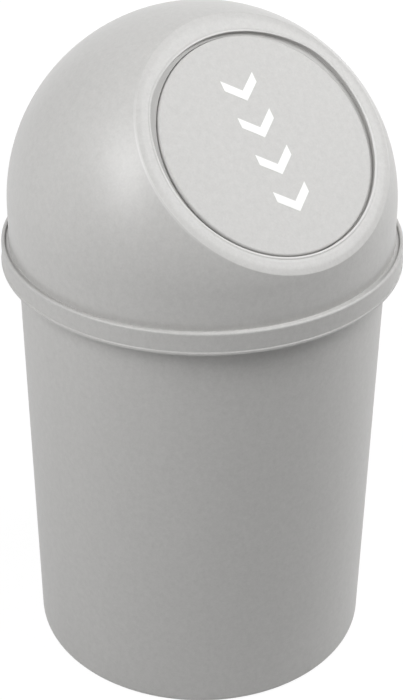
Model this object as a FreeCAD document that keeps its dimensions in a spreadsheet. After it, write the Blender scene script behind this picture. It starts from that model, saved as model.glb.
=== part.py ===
import FreeCAD, Part
import math
import operator
import os
import types

import Sketcher

# A push-lid waste bin: a tapered tub, a dome lid that stands in the tub's rim, and a round flap that swings
# inward on a steel pin and is closed by two torsion springs.
# Frame: the origin is the middle of the foot, +Z is up, and the flap faces -Y.
# On the flap's slope, "up" runs along the slope towards the top and "out" is the slope's outward normal, both
# measured from the dome's centre.

# Driving dimensions in millimetres, apart from the tilt in degrees.
TUB_SIZES = {
    "rim_radius": 108.0,
    "rim_height": 251.5,
    "rim_overhang": 8.7,
    "tub_taper": 4.3,
    "tub_wall": 2.0,
    "floor_thickness": 2.2,
    "foot_height": 2.0,
    "foot_width": 5.0,
    "base_fillet": 4.0,
    "band_height": 12.5,
    "band_wall": 2.5,
    "ledge_drop": 3.5,
    "ledge_thickness": 2.2,
}
LID_SIZES = {
    "groove_width": 2.0,
    "lid_wall": 2.0,
    "dome_rise": 23.5,
    "dome_tuck": 3.0,
    "brim_clearance": 0.4,
    "brim_height": 2.8,
    "web_lift": 2.5,
    "web_thickness": 2.0,
    "skirt_clearance": 0.6,
    "skirt_wall": 1.8,
    "skirt_depth": 7.5,
    "slope_tilt": 45.0,
    "land_sink": 29.6,
    "land_round": 4.0,
    "land_width": 8.3,
    "bead_width": 2.4,
    "bead_height": 0.8,
    "return_wall": 2.0,
    "return_depth": 4.0,
    "brow_swell": 7.5,
    "brow_gap": 1.7,
    "shelf_reach": 5.5,
    "shelf_thickness": 2.0,
    "shelf_clearance": 0.8,
}
FLAP_SIZES = {
    "flap_gap": 3.3,
    "flap_drop": 1.5,
    "panel_wall": 2.0,
    "panel_round": 1.0,
    "panel_flare": 1.0,
    "flange_lap": 1.5,
    "flange_thickness": 2.0,
    "trim_reach": 2.0,
    "trim_clearance": 0.3,
    "rib_height": 5.0,
    "rib_thickness": 2.0,
}
HINGE_SIZES = {
    "pin_radius": 2.0,
    "pin_inset": 18.0,
    "pin_depth": 11.9,
    "barrel_wall": 2.5,
    "knuckle_place": 17.0,
    "knuckle_width": 4.0,
    "knuckle_play": 0.5,
    "lug_width": 4.0,
    "post_depth": 4.0,
    "fit_clearance": 0.02,
    "running_clearance": 0.05,
    "cap_wall": 1.4,
    "cap_grip": 2.2,
    "wire_radius": 0.5,
    "coil_clearance": 0.6,
    "coil_pitch": 1.5,
    "coil_place": 6.5,
    "leg_length": 30.0,
    "leg_clearance": 0.05,
    "overrun": 5.0,
}
# Rounding of the band's edges as a share of the band's wall, and the spring's count of turns.
BAND_ROUND_SHARE = 0.45
COIL_TURNS = 5
SPANS_PER_TURN = 4
SAMPLES_PER_TURN = 72
# How closely an edge has to match the radius and height that it is looked up by.
MATCH_TOLERANCE_SHARE = 1e-5

OPERATIONS = {
    "+": operator.add,
    "-": operator.sub,
    "*": operator.mul,
    "/": operator.truediv,
    "^": operator.pow,
}


class Size:
    """A number worked out from the sheet, kept together with the expression that binds to it."""

    def __init__(self, text, value):
        self.text = text
        self.value = value

    def __add__(self, other):
        return join(self, "+", other)

    def __sub__(self, other):
        return join(self, "-", other)

    def __mul__(self, other):
        return join(self, "*", other)

    def __rmul__(self, other):
        return join(other, "*", self)

    def __truediv__(self, other):
        return join(self, "/", other)

    def __pow__(self, other):
        return join(self, "^", other)

    def __neg__(self):
        return join(ZERO, "-", self)


def as_size(number):
    """A plain number as a size; a size stays as it is."""
    if isinstance(number, Size):
        return number
    return Size(repr(number), number)


def join(first, sign, second):
    """Two sizes joined by an arithmetic sign, as a number and as an expression."""
    first = as_size(first)
    second = as_size(second)
    text = f"({first.text} {sign} {second.text})"
    return Size(text, OPERATIONS[sign](first.value, second.value))


def root(size):
    """The square root of a size."""
    return Size(f"sqrt({size.text})", math.sqrt(size.value))


def sine(angle):
    """The sine of an angle in degrees."""
    return Size(f"sin({angle.text})", math.sin(math.radians(angle.value)))


def cosine(angle):
    """The cosine of an angle in degrees."""
    return Size(f"cos({angle.text})", math.cos(math.radians(angle.value)))


ZERO = Size("0", 0.0)


def make_sheet(doc):
    """The sheet of driving dimensions, and each of them as a size."""
    sheet = doc.addObject("Spreadsheet::Sheet", "Sizes")
    sizes = {}
    row = 1
    for group in (TUB_SIZES, LID_SIZES, FLAP_SIZES, HINGE_SIZES):
        for name, value in group.items():
            sheet.set(f"A{row}", name)
            sheet.set(f"B{row}", str(value))
            sheet.setAlias(f"B{row}", name)
            sizes[name] = Size(f"Sizes.{name}", value)
            row += 1
    doc.recompute()
    return types.SimpleNamespace(**sizes)


def work_out(s):
    """Adds the sizes and places that several pieces share, from the driving dimensions."""
    s.tub_top = s.rim_radius - s.rim_overhang
    s.base_radius = s.tub_top - s.tub_taper
    s.mouth_radius = s.tub_top - s.tub_wall
    s.floor_top = s.foot_height + s.floor_thickness
    s.band_inner = s.rim_radius - s.band_wall
    s.band_bottom = s.rim_height - s.band_height
    s.ledge_top = s.rim_height - s.ledge_drop
    s.ledge_bottom = s.ledge_top - s.ledge_thickness

    s.dome_radius = s.band_inner - s.groove_width
    s.dome_inner = s.dome_radius - s.lid_wall
    s.dome_centre = s.ledge_top + s.dome_rise
    s.land_height = s.dome_radius - s.land_sink
    s.round_reach = s.dome_radius - s.land_round
    s.land_edge = root(s.round_reach ** 2 - (s.land_height - s.land_round) ** 2)
    s.land_back = s.land_height - s.lid_wall
    s.opening_radius = s.land_edge - s.land_width
    s.return_outer = s.opening_radius + s.return_wall
    s.seat_height = s.land_height - s.return_depth

    s.panel_radius = s.opening_radius - s.flap_gap
    s.panel_back = s.land_height - s.panel_wall
    s.flange_radius = s.return_outer + s.flange_lap
    s.flange_back = s.seat_height - s.flange_thickness

    s.brow_radius = s.opening_radius + s.brow_swell
    s.brow_top = s.panel_radius - s.flap_drop + s.brow_gap
    s.shelf_back = s.seat_height - s.shelf_thickness

    s.pin_up = s.opening_radius - s.pin_inset
    s.pin_out = s.land_height - s.pin_depth
    s.barrel_radius = s.pin_radius + s.barrel_wall
    s.knuckle_end = s.knuckle_place + s.knuckle_width
    s.lug_start = s.knuckle_end + s.knuckle_play
    s.lug_end = s.lug_start + s.lug_width
    s.pin_end = s.lug_end + s.cap_grip
    s.trim_start = s.pin_up - s.trim_reach


def origin_plane(body, role):
    """The body's own origin plane with that role."""
    return next(plane for plane in body.Origin.OriginFeatures if plane.Role == role)


def new_sketch(body, name, plane="YZ_Plane"):
    """A sketch on one of the body's origin planes, by default the one seen from the side."""
    sketch = body.newObject("Sketcher::SketchObject", name)
    sketch.AttachmentSupport = [(origin_plane(body, plane), "")]
    sketch.MapMode = "FlatFace"
    return sketch


def set_place(sketch, place, axis, angle):
    """Moves a sketch by a place in its plane's own axes, and turns it there about an axis by an angle."""
    sketch.AttachmentOffset = FreeCAD.Placement(
        FreeCAD.Vector(*[size.value for size in place]),
        FreeCAD.Rotation(axis, angle.value),
    )
    for letter, size in zip("xyz", place):
        sketch.setExpression(f".AttachmentOffset.Base.{letter}", size.text)
    sketch.setExpression(".AttachmentOffset.Rotation.Angle", angle.text)
    return sketch


def slope_sketch(body, name, s, side=ZERO, drop=ZERO):
    """A sketch whose axes are the flap's slope: x runs up and y runs out, set sideways or down the slope."""
    place = (-(drop * cosine(s.slope_tilt)), s.dome_centre - drop * sine(s.slope_tilt), side)
    return set_place(new_sketch(body, name), place, FreeCAD.Vector(0, 0, 1), s.slope_tilt)


def face_sketch(body, name, s, out):
    """A sketch along the flap's slope, so far out from the dome's centre: x runs right and y runs up."""
    place = (ZERO, -(out * sine(s.slope_tilt)), s.dome_centre + out * cosine(s.slope_tilt))
    return set_place(new_sketch(body, name, "XY_Plane"), place, FreeCAD.Vector(1, 0, 0), s.slope_tilt)


def bind(sketch, constraint, name, size):
    """Adds a constraint whose value follows the sheet."""
    index = sketch.addConstraint(constraint)
    sketch.renameConstraint(index, name)
    sketch.setExpression(f"Constraints.{name}", size.text)


def pin_point(sketch, curve, end, name, point):
    """Holds one end of a curve at a place measured from the sketch's origin."""
    across, upward = point
    bind(sketch, Sketcher.Constraint("DistanceX", -1, 1, curve, end, across.value), f"{name}_x", across)
    bind(sketch, Sketcher.Constraint("DistanceY", -1, 1, curve, end, upward.value), f"{name}_y", upward)


def arc_between(start, stop, radius, turn):
    """The arc of under a half circle from start to stop that turns left (1) or right (-1)."""
    chord = stop - start
    height = math.sqrt(max(radius * radius - chord.Length * chord.Length / 4, 0.0))
    left = FreeCAD.Vector(-chord.y, chord.x, 0).normalize()
    centre = (start + stop) / 2 + left * height * turn
    first, last = (start, stop) if turn > 0 else (stop, start)
    angles = [math.atan2(point.y - centre.y, point.x - centre.x) for point in (first, last)]
    circle = Part.Circle(centre, FreeCAD.Vector(0, 0, 1), radius)
    return Part.ArcOfCircle(circle, *angles)


def draw_outline(sketch, corners):
    """Draws a closed outline: a line follows each corner (x, y), and an arc each (x, y, radius, turn)."""
    count = len(corners)
    points = [FreeCAD.Vector(corner[0].value, corner[1].value, 0) for corner in corners]
    ends = []
    for index, corner in enumerate(corners):
        start = points[index]
        stop = points[(index + 1) % count]
        if len(corner) == 2:
            curve = sketch.addGeometry(Part.LineSegment(start, stop))
            ends.append((curve, 1, 2))
            continue
        radius, turn = corner[2:]
        curve = sketch.addGeometry(arc_between(start, stop, radius.value, turn))
        ends.append((curve, 1, 2) if turn > 0 else (curve, 2, 1))
    for index, (curve, _, last) in enumerate(ends):
        following, start, _ = ends[(index + 1) % count]
        sketch.addConstraint(Sketcher.Constraint("Coincident", curve, last, following, start))
    for index, (curve, first, _) in enumerate(ends):
        pin_point(sketch, curve, first, f"corner{index}", corners[index][:2])
        if len(corners[index]) > 2:
            radius = corners[index][2]
            bind(sketch, Sketcher.Constraint("Radius", curve, radius.value), f"round{index}", radius)
    return sketch


def draw_circle(sketch, name, centre, radius):
    """Draws a circle held by its centre and radius."""
    middle = FreeCAD.Vector(centre[0].value, centre[1].value, 0)
    curve = sketch.addGeometry(Part.Circle(middle, FreeCAD.Vector(0, 0, 1), radius.value))
    pin_point(sketch, curve, 3, f"{name}_centre", centre)
    bind(sketch, Sketcher.Constraint("Radius", curve, radius.value), f"{name}_radius", radius)
    return sketch


def new_body(doc, name):
    """A body whose label names its node."""
    body = doc.addObject("PartDesign::Body", name)
    body.Label = name
    return body


def turn_profile(body, name, sketch):
    """A full turn of a sketch about its own vertical axis."""
    feature = body.newObject("PartDesign::Revolution", name)
    feature.Profile = sketch
    feature.ReferenceAxis = (sketch, ["V_Axis"])
    feature.Angle = 360
    body.Document.recompute()
    return feature


def extrude(body, name, sketch, length, kind="Pad", backward=False, both_ways=False):
    """A pad or pocket of a sketch, to one side or evenly to both."""
    feature = body.newObject(f"PartDesign::{kind}", name)
    feature.Profile = sketch
    feature.setExpression("Length", length.text)
    feature.Reversed = backward
    if both_ways:
        feature.SideType = "Symmetric"
    body.Document.recompute()
    return feature


def mirror(body, name, feature):
    """The same feature on the other side of the middle plane."""
    copy = body.newObject("PartDesign::Mirrored", name)
    copy.Originals = [feature]
    copy.MirrorPlane = (origin_plane(body, "YZ_Plane"), [""])
    body.Tip = copy
    body.Document.recompute()
    return copy


def round_edges(body, name, places, radius):
    """Rounds the level circular edges that lie at the given places (radius, height)."""
    base = body.Tip
    names = []
    for index, edge in enumerate(base.Shape.Edges, start=1):
        if not isinstance(edge.Curve, Part.Circle):
            continue
        for reach, height in places:
            slack = MATCH_TOLERANCE_SHARE * reach.value
            beside = abs(edge.Curve.Radius - reach.value) < slack
            if beside and abs(edge.Curve.Center.z - height.value) < slack:
                names.append(f"Edge{index}")
    if len(names) != len(places):
        raise RuntimeError(f"{name}: found {len(names)} of {len(places)} edges")
    feature = body.newObject("PartDesign::Fillet", name)
    feature.Base = (base, names)
    feature.setExpression("Radius", radius.text)
    body.Document.recompute()
    return feature


def make_tub(doc, s):
    """The tapered tub with its recessed foot, rim ledge and overhanging band."""
    body = new_body(doc, "tub")
    foot_inner = s.base_radius - s.base_fillet - s.foot_width
    floor_radius = s.base_radius + s.tub_taper * s.floor_top / s.ledge_bottom - s.tub_wall
    sketch = draw_outline(new_sketch(body, "tub_profile"), [
        (ZERO, s.foot_height),
        (foot_inner, s.foot_height),
        (foot_inner, ZERO),
        (s.base_radius, ZERO),
        (s.tub_top, s.ledge_bottom),
        (s.band_inner, s.ledge_bottom),
        (s.band_inner, s.band_bottom),
        (s.rim_radius, s.band_bottom),
        (s.rim_radius, s.rim_height),
        (s.band_inner, s.rim_height),
        (s.band_inner, s.ledge_top),
        (s.mouth_radius, s.ledge_top),
        (floor_radius, s.floor_top),
        (ZERO, s.floor_top),
    ])
    turn_profile(body, "tub_wall", sketch)
    round_edges(body, "base_corner", [(s.base_radius, ZERO)], s.base_fillet)
    round_edges(body, "floor_corner", [(floor_radius, s.floor_top)], s.base_fillet - s.tub_wall)
    band_edges = [
        (s.rim_radius, s.rim_height),
        (s.band_inner, s.rim_height),
        (s.rim_radius, s.band_bottom),
    ]
    round_edges(body, "band_edges", band_edges, s.band_wall * BAND_ROUND_SHARE)
    return body


def make_lid(doc, s):
    """The dome lid with its land, opening and return wall, brim, centring skirt and hinge lugs."""
    body = new_body(doc, "lid_dome")

    # The ball, its land, raised bead and return wall are one profile turned about the slope's own normal.
    stretch = s.dome_radius / s.round_reach
    bead_radius = (s.bead_width ** 2 / 4 + s.bead_height ** 2) / (2 * s.bead_height)
    far_out = -((s.dome_radius + s.land_height) / 2)
    profile = draw_outline(slope_sketch(body, "dome_profile", s), [
        (s.opening_radius, s.land_height, bead_radius, -1),
        (s.opening_radius + s.bead_width, s.land_height),
        (s.land_edge, s.land_height, s.land_round, -1),
        (s.land_edge * stretch, (s.land_height - s.land_round) * stretch, s.dome_radius, -1),
        (root(s.dome_radius ** 2 - far_out ** 2), far_out),
        (root(s.dome_inner ** 2 - far_out ** 2), far_out, s.dome_inner, 1),
        (root(s.dome_inner ** 2 - s.land_back ** 2), s.land_back),
        (s.return_outer, s.land_back),
        (s.return_outer, s.seat_height),
        (s.opening_radius, s.seat_height),
    ])
    shell = turn_profile(body, "dome_shell", profile)

    # The ball ends a little under its widest level, where the upright wall takes over.
    wall_top = s.dome_centre - s.dome_tuck
    wall_outer = root(s.dome_radius ** 2 - s.dome_tuck ** 2)
    wall_inner = root(s.dome_inner ** 2 - s.dome_tuck ** 2)
    reach = s.dome_radius + s.overrun
    below = draw_outline(new_sketch(body, "below_profile"), [
        (-reach, wall_top - reach),
        (reach, wall_top - reach),
        (reach, wall_top),
        (-reach, wall_top),
    ])
    cut = extrude(body, "below_cut", below, 2 * reach, "Pocket", both_ways=True)
    if cut.Shape.Volume >= shell.Shape.Volume:
        raise RuntimeError("the ball was not cut off at the wall")

    skirt_outer = s.mouth_radius - s.skirt_clearance
    skirt_inner = skirt_outer - s.skirt_wall
    skirt_bottom = s.ledge_top - s.skirt_depth
    web_bottom = s.ledge_top + s.web_lift
    web_top = web_bottom + s.web_thickness
    brim_outer = s.band_inner - s.brim_clearance
    brim_top = s.ledge_top + s.brim_height
    wall = draw_outline(new_sketch(body, "wall_profile"), [
        (brim_outer, s.ledge_top),
        (brim_outer, brim_top),
        (wall_outer, brim_top),
        (wall_outer, wall_top),
        (wall_inner, wall_top),
        (wall_inner, web_top),
        (skirt_inner, web_top),
        (skirt_inner, skirt_bottom),
        (skirt_outer, skirt_bottom),
        (skirt_outer, web_bottom),
        (wall_inner, web_bottom),
        (wall_inner, s.ledge_top),
    ])
    turn_profile(body, "wall", wall)
    add_brow(body, s)
    add_shelf(body, s)

    # Each lug hangs from the land behind the return wall and reaches down the slope to the pin.
    post_inner = root((s.opening_radius + s.return_wall / 2) ** 2 - s.lug_start ** 2)
    post_outer = post_inner + s.post_depth
    post_top = s.land_height - s.lid_wall / 2
    arm_top = s.pin_out + s.barrel_radius
    arm_bottom = s.pin_out - s.barrel_radius
    lug = draw_outline(slope_sketch(body, "lug_profile", s, side=s.lug_start), [
        (post_inner, arm_top),
        (s.pin_up, arm_top, s.barrel_radius, 1),
        (s.pin_up - s.barrel_radius, s.pin_out, s.barrel_radius, 1),
        (s.pin_up, arm_bottom),
        (post_outer, arm_bottom),
        (post_outer, post_top),
        (post_inner, post_top),
    ])
    draw_circle(lug, "hole", (s.pin_up, s.pin_out), s.pin_radius + s.fit_clearance)
    mirror(body, "lugs", extrude(body, "lug", lug, s.lug_width))
    return body


def add_brow(body, s):
    """The crescent that draws the opening's edge down at the top, between its arc and the return wall."""
    sink = s.brow_radius - s.brow_top
    root_radius = s.opening_radius + s.return_wall / 2
    tip_up = (s.brow_radius ** 2 - sink ** 2 - root_radius ** 2) / (2 * sink)
    tip_side = root(root_radius ** 2 - tip_up ** 2)
    crescent = draw_outline(face_sketch(body, "brow_outline", s, s.seat_height), [
        (-tip_side, tip_up, s.brow_radius, -1),
        (tip_side, tip_up, root_radius, 1),
    ])
    extrude(body, "brow", crescent, s.return_depth)


def add_shelf(body, s):
    """The shelf behind the gap above the pin, where the flap has no flange to close it."""
    inner = s.opening_radius - s.shelf_reach
    end_up = s.trim_start + s.shelf_clearance
    inner_side = root(inner ** 2 - end_up ** 2)
    outer_side = root(s.return_outer ** 2 - end_up ** 2)
    sector = draw_outline(face_sketch(body, "shelf_outline", s, s.shelf_back), [
        (-inner_side, end_up, inner, -1),
        (inner_side, end_up),
        (outer_side, end_up, s.return_outer, 1),
        (-outer_side, end_up),
    ])
    extrude(body, "shelf", sector, s.shelf_thickness)


def make_flap(doc, s):
    """The round push flap: a panel with a flared edge, a stop flange, back ribs and hinge knuckles."""
    body = new_body(doc, "flap")
    profile = draw_outline(slope_sketch(body, "flap_profile", s, drop=s.flap_drop), [
        (ZERO, s.land_height),
        (s.panel_radius - s.panel_round, s.land_height, s.panel_round, -1),
        (s.panel_radius, s.land_height - s.panel_round),
        (s.panel_radius + s.panel_flare, s.seat_height),
        (s.flange_radius, s.seat_height),
        (s.flange_radius, s.flange_back),
        (s.panel_radius - s.panel_wall, s.flange_back),
        (s.panel_radius - s.panel_wall, s.panel_back),
        (ZERO, s.panel_back),
    ])
    panel = turn_profile(body, "panel", profile)

    # Above the pin the flange would swing outward into its seat, so it is cut away there, clear of the shelf.
    trim_end = s.flange_radius + s.overrun
    trim_back = s.flange_back - s.overrun
    trim_front = s.seat_height + s.trim_clearance
    trim = draw_outline(slope_sketch(body, "trim_profile", s), [
        (s.trim_start, trim_back),
        (trim_end, trim_back),
        (trim_end, trim_front),
        (s.trim_start, trim_front),
    ])
    cut = extrude(body, "hinge_trim", trim, 2 * trim_end, "Pocket", both_ways=True)
    if cut.Shape.Volume >= panel.Shape.Volume:
        raise RuntimeError("the flap's edge was not trimmed")

    panel_middle = s.land_height - s.panel_wall / 2
    knuckle = draw_outline(slope_sketch(body, "knuckle_profile", s, side=s.knuckle_place), [
        (s.pin_up - s.barrel_radius, s.pin_out, s.barrel_radius, 1),
        (s.pin_up, s.pin_out - s.barrel_radius, s.barrel_radius, 1),
        (s.pin_up + s.barrel_radius, s.pin_out, s.barrel_radius, 1),
        (s.pin_up, s.pin_out + s.barrel_radius),
        (s.pin_up, panel_middle),
        (s.pin_up - s.barrel_radius, panel_middle),
    ])
    draw_circle(knuckle, "hole", (s.pin_up, s.pin_out), s.pin_radius + s.running_clearance)
    mirror(body, "knuckles", extrude(body, "knuckle", knuckle, s.knuckle_width))

    # A rib runs down the back from each knuckle into the panel's edge.
    rib_middle = s.knuckle_place + s.knuckle_width / 2
    rib_side = rib_middle - s.rib_thickness / 2
    edge_middle = s.panel_radius - s.panel_wall / 2
    rib_bottom = -(s.flap_drop + root(edge_middle ** 2 - rib_middle ** 2))
    rib_top = s.pin_up - s.barrel_radius / 2
    rib_back = s.panel_back - s.rib_height
    rib = draw_outline(slope_sketch(body, "rib_profile", s, side=rib_side), [
        (rib_bottom, rib_back),
        (rib_top, rib_back),
        (rib_top, panel_middle),
        (rib_bottom, panel_middle),
    ])
    mirror(body, "ribs", extrude(body, "rib", rib, s.rib_thickness))
    return body


def make_pin(doc, s):
    """The steel pin through the lugs and knuckles."""
    body = new_body(doc, "hinge_pin")
    sketch = slope_sketch(body, "pin_section", s)
    draw_circle(sketch, "pin", (s.pin_up, s.pin_out), s.pin_radius)
    extrude(body, "pin", sketch, 2 * s.pin_end, both_ways=True)
    return body


def make_cap(doc, s, name, left):
    """A push-on cap on one end of the pin, against the lug's outer face."""
    body = new_body(doc, name)
    side = -s.lug_end if left else s.lug_end
    bore = s.pin_radius + s.fit_clearance
    outer = slope_sketch(body, f"{name}_outer", s, side=side)
    draw_circle(outer, "outer", (s.pin_up, s.pin_out), bore + s.cap_wall)
    blank = extrude(body, f"{name}_blank", outer, s.cap_grip + s.cap_wall, backward=left)
    inner = slope_sketch(body, f"{name}_inner", s, side=side)
    draw_circle(inner, "inner", (s.pin_up, s.pin_out), bore)
    cut = extrude(body, f"{name}_bore", inner, s.cap_grip, "Pocket", backward=not left)
    if cut.Shape.Volume >= blank.Shape.Volume:
        raise RuntimeError(f"{name} has no bore")
    return body


def arc_edge(start, direction, stop):
    """The circular edge that leaves start in a direction and ends at stop."""
    chord = stop - start
    along = FreeCAD.Vector(chord).normalize()
    bend = direction.getAngle(chord)
    aside = (direction - along * direction.dot(along)).normalize()
    middle = (start + stop) / 2 + aside * (chord.Length / 2 * math.tan(bend / 2))
    return Part.Arc(start, middle, stop).toShape()


def biarc_edges(start, leaving, stop, arriving):
    """Two arcs that join smoothly and leave and arrive in the given unit directions."""
    span = stop - start
    both = span.dot(leaving + arriving)
    spread = 2 * (1 - leaving.dot(arriving))
    reach = (math.sqrt(both * both + spread * span.dot(span)) - both) / spread
    joint = (start + stop + (leaving - arriving) * reach) / 2
    first = arc_edge(start, leaving, joint)
    second = arc_edge(stop, arriving * -1, joint)
    return [first, second]


def least_gap(points, neighbours, wire):
    """The least free space between turns, measured on points of the coil half a turn or more apart."""
    gap = math.inf
    for index, point in enumerate(points):
        for other in points[index + neighbours:]:
            gap = min(gap, point.distanceToPoint(other) - 2 * wire)
    return gap


def make_spring(doc, s, name, side):
    """A torsion spring round the pin: one leg behind the lid's shelf, one on the flap's back."""
    wire = s.wire_radius.value
    coil = s.pin_radius.value + s.coil_clearance.value + wire
    tilt = math.radians(s.slope_tilt.value)
    up_axis = FreeCAD.Vector(0, math.cos(tilt), math.sin(tilt))
    out_axis = FreeCAD.Vector(0, -math.sin(tilt), math.cos(tilt))
    side_axis = FreeCAD.Vector(side, 0, 0)
    centre = FreeCAD.Vector(0, 0, s.dome_centre.value)
    centre += up_axis * s.pin_up.value + out_axis * s.pin_out.value

    # Each leg runs straight from the coil to its seat, which fixes the angle at which the coil ends.
    seat_gap = wire + s.leg_clearance.value
    lid_seat_up = math.sqrt(s.opening_radius.value ** 2 - s.coil_place.value ** 2) - s.pin_up.value
    lid_seat_out = s.shelf_back.value - seat_gap - s.pin_out.value
    flap_seat_up = -s.leg_length.value
    flap_seat_out = s.panel_back.value - seat_gap - s.pin_out.value
    lid_reach = math.hypot(lid_seat_up, lid_seat_out)
    flap_reach = math.hypot(flap_seat_up, flap_seat_out)
    first = math.atan2(lid_seat_out, lid_seat_up) + math.acos(coil / lid_reach)
    last = math.atan2(flap_seat_out, flap_seat_up) - math.acos(coil / flap_reach) + math.tau * COIL_TURNS
    slope = s.coil_pitch.value / math.tau

    def helix_point(angle):
        sideways = s.coil_place.value + slope * (angle - first)
        around = up_axis * math.cos(angle) + out_axis * math.sin(angle)
        return centre + side_axis * sideways + around * coil

    def helix_direction(angle):
        around = out_axis * math.cos(angle) - up_axis * math.sin(angle)
        return (around * coil + side_axis * slope).normalize()

    spans = math.ceil((last - first) / math.tau * SPANS_PER_TURN)
    angles = [first + (last - first) * index / spans for index in range(spans + 1)]
    rise = math.hypot(coil, slope) / coil
    lid_leg = rise * math.sqrt(lid_reach ** 2 - coil ** 2)
    flap_leg = rise * math.sqrt(flap_reach ** 2 - coil ** 2)
    start = helix_point(first)
    stop = helix_point(last)
    lid_end = start - helix_direction(first) * lid_leg
    flap_end = stop + helix_direction(last) * flap_leg
    edges = [Part.makeLine(lid_end, start)]
    for before, after in zip(angles, angles[1:]):
        edges += biarc_edges(
            helix_point(before), helix_direction(before), helix_point(after), helix_direction(after))
    edges.append(Part.makeLine(stop, flap_end))
    path = Part.Wire(Part.__sortEdges__(edges))
    section = Part.Wire(Part.Circle(lid_end, helix_direction(first), wire).toShape())

    spring = doc.addObject("Part::Feature", name)
    spring.Label = name
    spring.Shape = path.makePipeShell([section], True, False)
    spring.Placement = FreeCAD.Placement()

    steps = round((last - first) / math.tau * SAMPLES_PER_TURN)
    samples = [helix_point(first + (last - first) * step / steps) for step in range(steps + 1)]
    gap = least_gap(samples, SAMPLES_PER_TURN // 2, wire)
    tube = math.pi * wire ** 2 * path.Length
    print(f"{name}: least gap {gap:.3f} mm, volume {spring.Shape.Volume:.2f} of {tube:.2f} mm3")
    return spring


def check_and_write(doc, pieces):
    """Stops if any object failed, and otherwise writes each piece to its own file."""
    doc.recompute()
    for item in doc.Objects:
        if "Invalid" in item.State or "Error" in item.State:
            raise RuntimeError(f"{item.Name} failed: {item.State}")
    for piece in pieces:
        shape = piece.Shape
        if shape.isNull() or not shape.isValid() or not shape.Solids:
            raise RuntimeError(f"{piece.Label} has no valid solid")
    os.makedirs("parts", exist_ok=True)
    for piece in pieces:
        piece.Shape.exportStep(f"parts/{piece.Label}.step")
        box = piece.Shape.optimalBoundingBox(True, False)
        print(f"{piece.Label}: {len(piece.Shape.Solids)} solid, {piece.Shape.Volume:.1f} mm3, "
              f"X {box.XMin:.2f} {box.XMax:.2f}, Y {box.YMin:.2f} {box.YMax:.2f}, "
              f"Z {box.ZMin:.2f} {box.ZMax:.2f}")


def main():
    """Builds the document and writes its pieces."""
    doc = FreeCAD.newDocument("waste_bin")
    s = make_sheet(doc)
    work_out(s)
    pieces = [
        make_tub(doc, s),
        make_lid(doc, s),
        make_flap(doc, s),
        make_pin(doc, s),
        make_cap(doc, s, "pin_cap_left", True),
        make_cap(doc, s, "pin_cap_right", False),
        make_spring(doc, s, "spring_left", -1),
        make_spring(doc, s, "spring_right", 1),
    ]
    check_and_write(doc, pieces)


main()
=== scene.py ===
"""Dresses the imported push-lid waste bin with worked-out surfaces, moulded finishes and a studio."""
import logging
import math
from dataclasses import dataclass, replace
from enum import Enum
from typing import Protocol, Sequence

import bpy
import numpy as np
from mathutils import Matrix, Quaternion, Vector


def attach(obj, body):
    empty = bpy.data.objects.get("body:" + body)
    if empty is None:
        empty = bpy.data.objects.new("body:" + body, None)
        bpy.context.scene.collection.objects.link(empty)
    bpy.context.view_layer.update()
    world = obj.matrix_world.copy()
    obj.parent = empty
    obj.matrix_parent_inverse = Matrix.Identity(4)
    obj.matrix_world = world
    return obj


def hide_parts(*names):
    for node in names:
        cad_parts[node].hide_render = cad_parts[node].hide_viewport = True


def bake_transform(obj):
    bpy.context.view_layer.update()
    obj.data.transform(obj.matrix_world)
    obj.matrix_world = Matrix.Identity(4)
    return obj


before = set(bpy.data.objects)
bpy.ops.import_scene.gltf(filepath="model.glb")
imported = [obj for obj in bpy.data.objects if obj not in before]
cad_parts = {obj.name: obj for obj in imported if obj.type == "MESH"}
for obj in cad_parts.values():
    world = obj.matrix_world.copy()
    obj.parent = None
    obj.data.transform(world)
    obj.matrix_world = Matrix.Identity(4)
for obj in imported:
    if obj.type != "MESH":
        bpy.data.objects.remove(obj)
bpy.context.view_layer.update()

LOG = logging.getLogger("waste_bin")

Array = np.ndarray
Point = tuple[float, float, float]
Corner = tuple[float, float, float]
Shell = tuple[Array, Array]

MILLIMETRE = 0.001
WELD_STEP = 1e-4
ARC_STEP = math.radians(11.0)
LEAST_ARC_STEPS = 4
EASE_SHARE = 0.1
SHARP_ANGLE = math.radians(38.0)
FULL_TURN = 2.0 * math.pi
NOISE_MIDDLE = 0.5
MIX_FACTOR, MIX_FIRST, MIX_SECOND, MIX_RESULT = 0, 6, 7, 2
WHITE = (1.0, 1.0, 1.0, 1.0)


class Body(Enum):
    """The bodies that pieces move with."""

    TUB = "tub"
    LID = "lid"
    FLAP = "flap"


class Slot(Enum):
    """The record's material slots."""

    TUB = "tub_plastic"
    LID = "lid_plastic"
    FLAP = "flap_plastic"
    CAP = "cap_plastic"
    PIN = "pin_steel"
    SPRING = "spring_steel"


class Side(Enum):
    """The two sides of the middle plane, as the sign of X."""

    LEFT = -1.0
    RIGHT = 1.0


# Surfaces


@dataclass(frozen=True)
class Axes:
    """A place with three square directions, in millimetres; profiles are turned about the out direction."""

    origin: Point
    side: Point
    up: Point
    out: Point

    def place(self, side: Array | float, up: Array | float, out: Array | float) -> Array:
        """Points at the given distances: origin + side S + up U + out O, on whole arrays.

        Args:
            side: Distance along the side direction.
            up: Distance along the up direction.
            out: Distance along the out direction.

        Returns:
            The points, with one more dimension than the distances.
        """
        reach = np.stack(np.broadcast_arrays(side, up, out), axis=-1).astype(float)
        return np.array(self.origin) + reach @ np.array([self.side, self.up, self.out])

    def ring(self, radius: Array, height: Array, angle: Array) -> Array:
        """Points round the out direction: r sin(a) to the side, r cos(a) up and the height out."""
        return self.place(radius * np.sin(angle), radius * np.cos(angle), height)

    def moved(self, up: float = 0.0, out: float = 0.0) -> "Axes":
        """The same directions from a place that lies the given distances away."""
        return replace(self, origin=tuple(self.place(0.0, up, out)))


def unit(vector: Array) -> Array:
    """The vector at length one."""
    return vector / np.linalg.norm(vector)


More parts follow.
